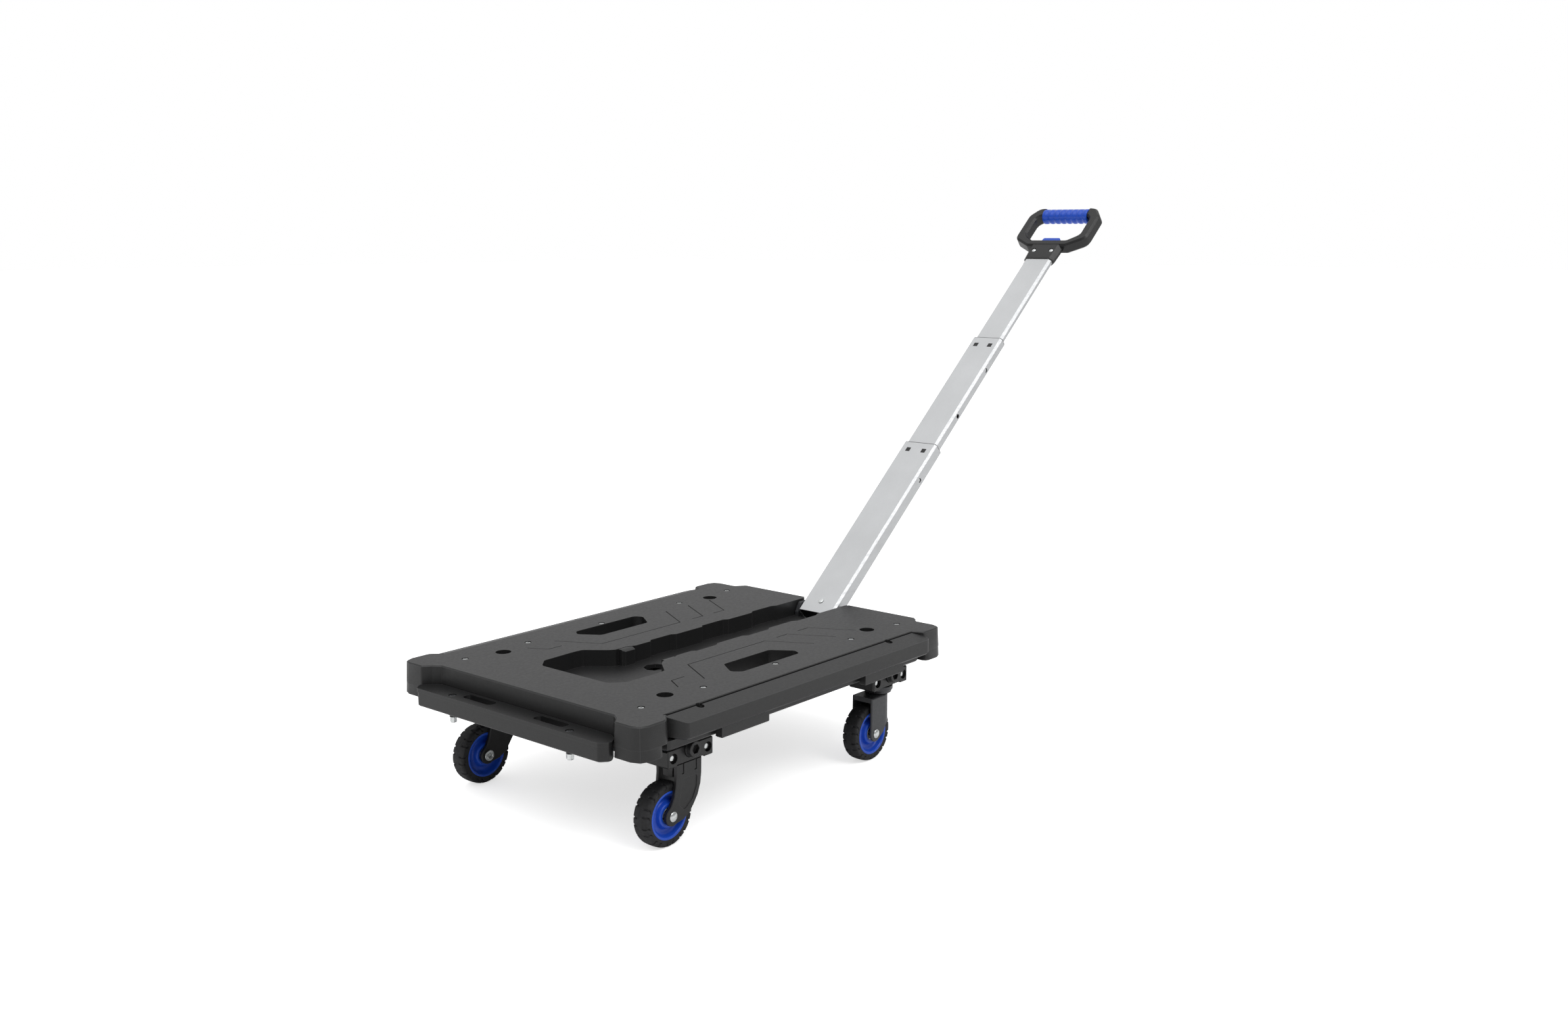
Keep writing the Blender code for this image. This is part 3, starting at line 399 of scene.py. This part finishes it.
def rounded(corners, steps=6):
    """An outline whose corners (a, b, radius) become arcs."""
    points = []
    for k, (a, b, radius) in enumerate(corners):
        here = Vector((a, b))
        before = (Vector(corners[k - 1][:2]) - here).normalized()
        after = (Vector(corners[(k + 1) % len(corners)][:2]) - here).normalized()
        if radius <= 0:
            points.append((a, b))
            continue
        half = before.angle(after) / 2
        back = radius / math.tan(half)
        start = here + before * back
        end = here + after * back
        middle = here + (before + after).normalized() * (radius / math.sin(half))
        first = start - middle
        last = end - middle
        sweep = first.angle_signed(last)
        for step in range(steps + 1):
            turned = first.copy()
            turned.rotate(Matrix.Rotation(-sweep * step / steps, 2))
            points.append(tuple(middle + turned))
    return points


def thing_of(name, made, frame, angle=35):
    """An object in the scene from a bmesh in millimetres, placed by its frame."""
    bmesh.ops.remove_doubles(made, verts=made.verts, dist=1e-4)
    bmesh.ops.dissolve_degenerate(made, edges=made.edges, dist=1e-5)
    bmesh.ops.transform(made, matrix=frame, verts=made.verts)
    bmesh.ops.recalc_face_normals(made, faces=made.faces)
    mesh = bpy.data.meshes.new(name)
    made.to_mesh(mesh)
    made.free()
    thing = bpy.data.objects.new(name, mesh)
    bpy.context.scene.collection.objects.link(thing)
    return shaded(thing, angle)


def shaded(thing, angle=35):
    """Smooth shading with edges kept sharp above an angle."""
    for face in thing.data.polygons:
        face.use_smooth = True
    thing.data.set_sharp_from_angle(angle=math.radians(angle))
    return thing


def piece(name, made, material, rides_on, frame, replaces=(), angle=35):
    """A finished piece that rides on a body and stands in for any CAD nodes named."""
    thing = thing_of(name, made, frame, angle)
    thing.data.materials.append(material)
    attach(thing, rides_on)
    if replaces:
        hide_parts(*replaces)
    return thing


def carved(thing, cutters, frame, angle=35):
    """The thing with other shapes cut out of it, and its mesh made final."""
    helpers = []
    for k, made in enumerate(cutters):
        helper = thing_of(f"helper {k}", made, frame)
        helpers.append(helper)
        step = thing.modifiers.new(f"cut {k}", "BOOLEAN")
        step.operation = "DIFFERENCE"
        step.solver = "EXACT"
        step.object = helper
    bpy.context.view_layer.update()
    graph = bpy.context.evaluated_depsgraph_get()
    final = bpy.data.meshes.new_from_object(thing.evaluated_get(graph))
    thing.modifiers.clear()
    thing.data = final
    for helper in helpers:
        bpy.data.objects.remove(helper, do_unlink=True)
    return shaded(thing, angle)


def copy_of(node, name):
    """A welded copy of a CAD node's mesh, to be finished in more detail."""
    made = bmesh.new()
    made.from_mesh(NODES[node].data)
    made.transform(Matrix.Scale(1 / MM, 4))
    bmesh.ops.remove_doubles(made, verts=made.verts, dist=0.004)
    return thing_of(name, made, Matrix.Scale(MM, 4))


# Wheels: a tyre with hooked grooves over its shoulders, and a dished hub with a bearing.
TREAD_STEPS = [0, 1.5, 3.0, 3.6, 4.2, 4.8, 5.7, 6.7, 7.7, 8.7, 9.5]
TREAD_STEPS += [10.1, 10.7, 11.3, 11.9, 12.5, 13.1, 13.6, 14.2, 15.0, 17.0]
CROWN_END = 5.7
SHOULDER_END = 10.1
SHOULDER_TURN = math.radians(80)
GROOVE_STEP = 36.0


def tyre_mesh():
    """Rows along the tread, each point with its distance u from the middle and the way that it faces."""
    tread = []
    for u in TREAD_STEPS:
        if u <= CROWN_END:
            tread.append((u, WHEEL_RADIUS - 0.25 * (u / CROWN_END) ** 2, u, (1.0, 0.0)))
        elif u <= SHOULDER_END:
            share = (u - CROWN_END) / 4.4
            turn = share * SHOULDER_TURN
            across = CROWN_END + 5.15 * math.sin(turn) / math.sin(SHOULDER_TURN)
            tread.append((u, 34.95 + 2.8 * math.cos(turn), across, (math.cos(turn), math.sin(turn))))
        else:
            past = u - SHOULDER_END
            tread.append((u, 35.43 - past, 10.85 + 0.1 * min(past / 3, 1), (0.0, 1.0)))
    columns = 480
    rows = []
    profile = []
    for side in (-1, 1):
        half = [(u, r, side * h, (nr, side * nh), side) for u, r, h, (nr, nh) in tread]
        profile += list(reversed(half)) if side < 0 else half[1:]
    inner = [(None, 28.9, 10.4, None, 1), (None, 28.9, -10.4, None, 1)]
    for u, r, h, lean, side in profile + inner:
        row = []
        for k in range(columns):
            angle = 360.0 * k / columns
            depth = 0.0
            if u is not None and 3.0 < u < 14.0:
                shift = 4.5 * max(0.0, min((u - 12.2) / 1.6, 1.0)) * side
                phase = (angle - shift - (GROOVE_STEP / 2 if side < 0 else 0.0)) % GROOVE_STEP
                near = min(abs(phase - 11.0), abs(phase - 25.0)) * math.radians(r)
                wide = 0.95 if u < 10.5 else 0.8
                across = max(0.0, min((wide + 0.25 - near) / 0.5, 1.0))
                along = max(0.0, min((u - 3.2) / 1.0, 1.0)) * max(0.0, min((14.0 - u) / 0.5, 1.0))
                depth = 1.35 * across * along
            if lean:
                radius = r - depth * lean[0]
                height = h - depth * lean[1]
            else:
                radius, height = r, h
            turn = math.radians(angle)
            row.append((radius * math.cos(turn), height, radius * math.sin(turn)))
        rows.append(row)
    return grid(rows, True)


HUB = [(28.95, 9.9), (28.6, 10.9), (28.1, 11.2), (26.4, 11.2), (25.7, 10.7), (25.1, 9.4), (24.2, 6.6)]
HUB += [(22.8, 4.8), (20.6, 3.6), (18.0, 3.3), (16.4, 3.9), (15.4, 5.4), (14.7, 8.2), (14.1, 9.4)]
HUB += [(13.2, 9.9), (10.4, 9.9), (9.7, 9.5), (9.3, 8.6)]
hub_profile = HUB + [(9.3, 0.0)] + [(r, -h) for r, h in reversed(HUB)]


def wheel(end, x, side):
    label = tag(end, side)
    frame = at_caster(x, side)
    body = f"wheel_{label}"
    hub_at = (-TRAIL, CASTER_Y, WHEEL_Z)
    made = tyre_mesh()
    made.transform(Matrix.Translation(hub_at))
    piece(f"tread_{label}", made, RUBBER, body, frame, [f"tyre_{label}"], 40)
    rim = lathe(hub_profile, "Y", hub_at, 96, True)
    piece(f"rim_{label}", rim, BLUE, body, frame, [f"hub_{label}"], 50)
    for face in (1, -1):
        ring = [(9.3, 7.0), (9.3, 9.0), (9.1, 9.3), (8.5, 9.3), (8.3, 9.0), (8.3, 7.0)]
        seal = [(8.3, 7.6), (8.2, 8.6), (5.2, 8.2), (4.6, 7.8), (4.3, 7.0), (4.3, 5.0), (8.3, 5.0)]
        where = "outer" if face > 0 else "inner"
        rings = (("race", ring, STEEL, "steel"), ("seal", seal, BLACK, "black_plastic"))
        for part, profile, look, slot in rings:
            shape = lathe([(r, face * h) for r, h in profile], "Y", hub_at, 64, True)
            piece(f"{part}_{where}_{label}", shape, look, body, frame, (), 30)


for end, x, side in CASTERS:
    wheel(end, x, side)

# Wheel axles: a domed head outside and a hollow clench inside.
for end, x, side in CASTERS:
    label = tag(end, side)
    profile = [(0, 181.6), (1.6, 181.5), (3.2, 181.15), (4.6, 180.6), (5.5, 180.0), (5.9, 179.6)]
    profile += [(5.9, 179.4), (3.9, 179.4), (3.9, 145.7), (6.6, 145.7), (7.0, 145.3), (7.0, 144.4)]
    profile += [(6.6, 143.9), (4.4, 143.7), (3.4, 144.2), (3.1, 146.4), (1.7, 146.4), (1.6, 144.9)]
    profile += [(0, 144.7)]
    axle = lathe(profile, "Y", (-TRAIL, 0, WHEEL_Z), 48)
    carrier = f"leg_{label}" if end == "front" else f"swivel_{label}"
    piece(f"spindle_{label}", axle, STEEL, carrier, at_caster(x, side), [f"axle_{label}"], 30)

# Two plated pins show in the counterbores of every folding block.
for end, x, side in CASTERS:
    label = tag(end, side)
    for k, shift in enumerate(BLOCK_PINS):
        profile = [(0, 180.4), (2.6, 180.35), (3.4, 180.1), (3.9, 179.5), (3.9, 178.6), (0, 178.6)]
        pin = lathe(profile, "Y", (shift, 0, BLOCK_PIN_Z), 40)
        piece(f"block_pin_{label}_{k}", pin, STEEL, f"leg_{label}", at_caster(x, side), (), 40)


# Fasteners.
def cross(wide, arm, low, high, centre):
    """A cross-shaped driver recess."""
    a = wide / 2
    outline = [(a, a), (a, arm), (-a, arm), (-a, a), (-arm, a), (-arm, -a)]
    outline += [(-x, -y) for x, y in outline]
    return slab(outline, low, high, "Z", centre)


number = 0
for x in SCREW_ROWS:
    for side in (1, -1):
        number += 1
        profile = [(0, -0.25), (1.8, -0.32), (3.0, -0.55), (3.8, -1.0), (4.2, -1.6), (4.2, -2.6), (0, -2.6)]
        spot = (x, side * SCREW_Y, 0)
        head = lathe(profile, "Z", spot, 40)
        nodes = [f"deck_screw_{number:02d}"]
        screw = piece(f"deck_fixing_{number:02d}", head, STEEL, "deck", ON_DECK, nodes, 30)
        carved(screw, [cross(0.9, 2.1, -1.5, 1.0, spot)], ON_DECK, 30)

for label, side in (("left", 1), ("right", -1)):
    low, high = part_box(f"ledge_bolt_{label}")
    bolt_x = ((low.x + high.x) / 2 - DECK_X) / MM
    bolt_y = (low.y + high.y) / 2 / MM
    foot_z = (low.z - DECK_HEIGHT) / MM
    spot = (bolt_x, bolt_y, 0)
    profile = [(0, foot_z), (2.4, foot_z), (3.5, foot_z + 0.4), (4.55, foot_z + 1.6), (4.55, -49.4)]
    nut = lathe(profile + [(4.3, -49.0), (0, -49.0)], "Z", spot, 6)
    piece(f"ledge_nut_{label}", nut, STEEL, "deck", ON_DECK, [f"ledge_bolt_{label}"], 20)
    profile = [(2.9, -49.0), (4.5, -49.0), (4.6, -48.7), (4.2, -46.4), (3.9, -45.2), (2.9, -45.2)]
    washer = lathe(profile, "Z", spot, 40, True)
    piece(f"ledge_washer_{label}", washer, BLACK, "deck", ON_DECK)
    profile = [(0, -23.1), (2.6, -23.15), (4.0, -23.5), (4.7, -24.3), (4.7, -25.9), (0, -25.9)]
    top = piece(f"ledge_head_{label}", lathe(profile, "Z", spot, 40), DULL, "deck", ON_DECK, (), 30)
    carved(top, [cross(1.0, 2.4, -24.6, -20, spot)], ON_DECK, 30)

# The head, with a bore in the front of its socket for each rivet.
head = copy_of("handle_head", "moulded_head")
bore = [(0, -3.9), (4.5, -3.9), (4.7, 2.0), (0, 2.0)]
carved(head, [lathe(bore, "Z", (RIVET_S, across, 0), 40) for across in RIVET_Y], ON_HANDLE)
paint(head, BLACK)
soften(head, 0.0006)
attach(head, "inner_stage")
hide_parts("handle_head")
for k, across in enumerate(RIVET_Y):
    profile = [(0, -2.75), (1.4, -2.8), (2.6, -3.0), (3.4, -3.3), (3.7, -3.7), (3.7, -3.95), (0, -3.95)]
    dome = lathe(profile, "Z", (RIVET_S, across, 0), 40)
    piece(f"socket_rivet_{k}", dome, STEEL, "inner_stage", ON_HANDLE)


# Grip: a soft blue sleeve, smooth behind and scalloped for the fingers.
def sleeve():
    rows = []
    count = 144
    for k in range(count + 1):
        across = -GRIP_HALF + 2 * GRIP_HALF * k / count
        row = []
        for j in range(96):
            turn = 2 * math.pi * j / 96
            from_below = abs((math.degrees(turn) + 180) % 360 - 180)
            wave = (0.5 + 0.5 * math.cos(2 * math.pi * across / SCALLOP_PITCH)) ** 1.4
            inside = 1.0 if abs(across) < 3.5 * SCALLOP_PITCH else 0.0
            spread = max(0.0, min((132.0 - from_below) / 50.0, 1.0))
            radius = GRIP_RADIUS - 1.35 * wave * spread ** 0.7 * inside
            offset = abs((across + SCALLOP_PITCH / 2) % SCALLOP_PITCH - SCALLOP_PITCH / 2)
            dimple = max(0.0, 1 - (offset / 2.3) ** 2 - ((from_below - 128.0) / 11.0) ** 2)
            radius -= 1.3 * math.sqrt(dimple) * inside
            radius -= 0.5 * max(0.0, (abs(across) - GRIP_HALF + 0.8) / 0.8)
            row.append((-radius * math.cos(turn), across, radius * math.sin(turn)))
        rows.append(row)
    ends = [[(x * 0.6, y, z * 0.6) for x, y, z in row] for row in (rows[0], rows[-1])]
    return grid([ends[0]] + rows + [ends[1]], True)


grip = sleeve()
grip.transform(Matrix.Translation((GRIP_S, 0, GRIP_N)))
piece("grip", grip, BLUE, "inner_stage", ON_HANDLE, ["grip_sleeve"], 60)

# Front forks: a sunk panel and two slots outside, and a rib plate between the arms.
for end, x, side in CASTERS:
    if end == "rear":
        continue
    label = tag(end, side)
    frame = at_caster(x, side)
    fork = copy_of(f"fork_{label}", f"moulded_fork_{label}")
    panel = [(-8.7, -89.9, 1.5), (13.6, -89.9, 3), (12.6, -104.0, 8), (5.5, -118.0, 6)]
    panel += [(-7.5, -127.5, 5), (-16.6, -119.0, 4)]
    cutters = [slab(rounded(panel), 178.3, 185.0, "Y")]
    for at in (-8.7, 12.3):
        slot = [(at - 0.9, -69.0, 0), (at + 0.9, -69.0, 0), (at + 0.9, -84.0, 0.8), (at - 3.0, -84.0, 0.8)]
        slot += [(at - 3.0, -82.2, 0.5), (at - 0.9, -82.2, 0)]
        cutters.append(slab(rounded(slot, 3), 178.0, 185.0, "Y"))
    carved(fork, cutters, frame)
    paint(fork, BLACK)
    soften(fork, 0.0004)
    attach(fork, f"leg_{label}")
    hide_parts(f"fork_{label}")
    plate = slab([(154.0, -71.3), (171.0, -71.3), (169.4, -88.0), (155.6, -88.0)], -17.6, -13.8, "X")
    piece(f"fork_rib_{label}", plate, BLACK, f"leg_{label}", frame)

PLATED = ("deck_screw", "ledge_bolt", "hinge_pin", "fold_pin")
PLATED += ("axle", "mid_lock", "inner_lock", "plug_rivet")
LOOKS = (
    (("deck_top",), DECK, 0.0008),
    (("deck_base", "fold_block", "fork_front", "outer_bush", "mid_bush", "handle_head"), BLACK, 0.0006),
    (("mid_foot", "inner_foot", "hinge_plug"), BLACK, 0.0003),
    (("outer_tube", "mid_tube", "inner_tube"), ALUMINIUM, 0.0),
    (("fork_rear", "swivel_race", "hinge_bracket"), DULL, 0.0006),
    (PLATED, STEEL, 0.0),
    (("hub", "release_button", "grip_sleeve"), BLUE, 0.0),
    (("tyre",), RUBBER, 0.0),
    (("fold_button",), BLACK, 0.0004),
)
for names, material, radius in LOOKS:
    for node, thing in NODES.items():
        if node.startswith(names):
            paint(thing, material)
            if radius:
                soften(thing, radius)

bpy.context.view_layer.update()
